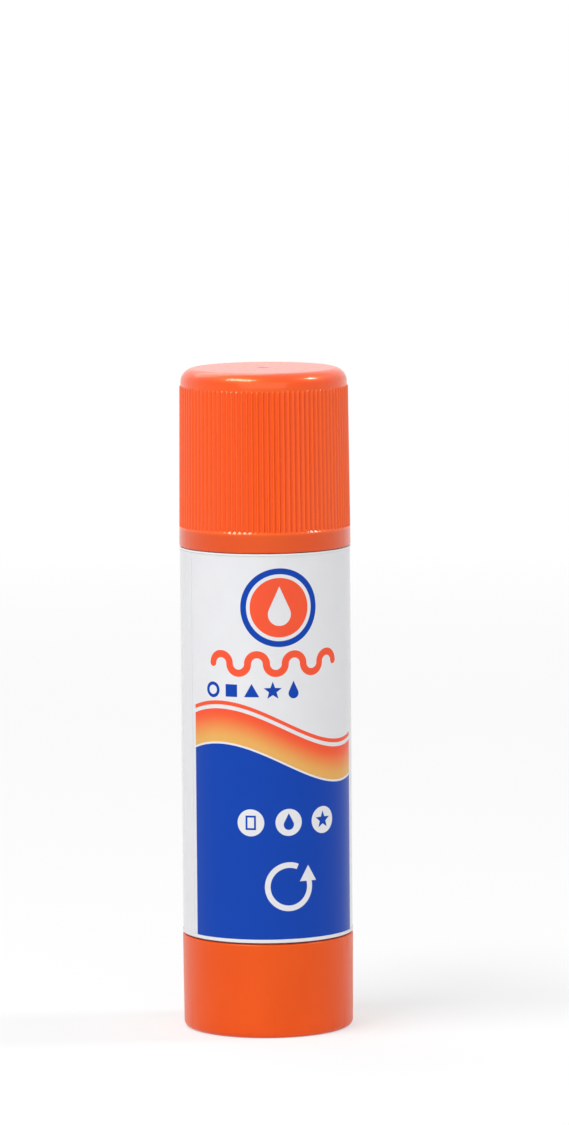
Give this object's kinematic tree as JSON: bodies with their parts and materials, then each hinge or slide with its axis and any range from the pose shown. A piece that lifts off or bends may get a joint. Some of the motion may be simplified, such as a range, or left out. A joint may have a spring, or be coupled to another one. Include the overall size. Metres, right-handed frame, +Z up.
{
  "type": "glue stick",
  "caption": "Twist-up glue stick: fluted push-on cap, labelled round barrel and a knob that turns a screw to raise the glue.",
  "frame": {"origin": "centre of the flat ring under the knob that the stick stands on", "axes": "+Z up the stick's axis towards the cap, -Y the front of the label"},
  "size_m": [0.026, 0.026, 0.1007],
  "materials": {
    "barrel": "satin white polypropylene",
    "label": "glossy printed film",
    "knob": "satin red-orange polypropylene",
    "inner_plastic": "matt natural polypropylene",
    "glue": "smooth waxy off-white",
    "cap": "glossy orange polypropylene"
  },
  "bodies": {
    "barrel": {"barrel": "barrel", "label": "label"},
    "knob": {"knob": "knob", "spindle": "inner_plastic"},
    "carrier": {"carrier": "inner_plastic", "glue": "glue"},
    "cap": {"cap": "cap"}
  },
  "joints": [
    {"name": "knob_twist", "type": "hinge", "parent": "barrel", "child": "knob", "pos_m": [0, 0, 0], "axis": [0, 0, 1], "range_deg": [0, 3960]},
    {"name": "glue_rise", "type": "slide", "parent": "barrel", "child": "carrier", "axis": [0, 0, 1], "range_m": [0, 0.0605]},
    {"name": "cap_lift", "type": "slide", "parent": "carrier", "child": "cap", "axis": [0, 0, 1], "range_m": [0, 0.045]}
  ],
  "couplings": [
    {"joint": "knob_twist", "follows": "glue_rise", "rad_per_m": 1142.4}
  ]
}
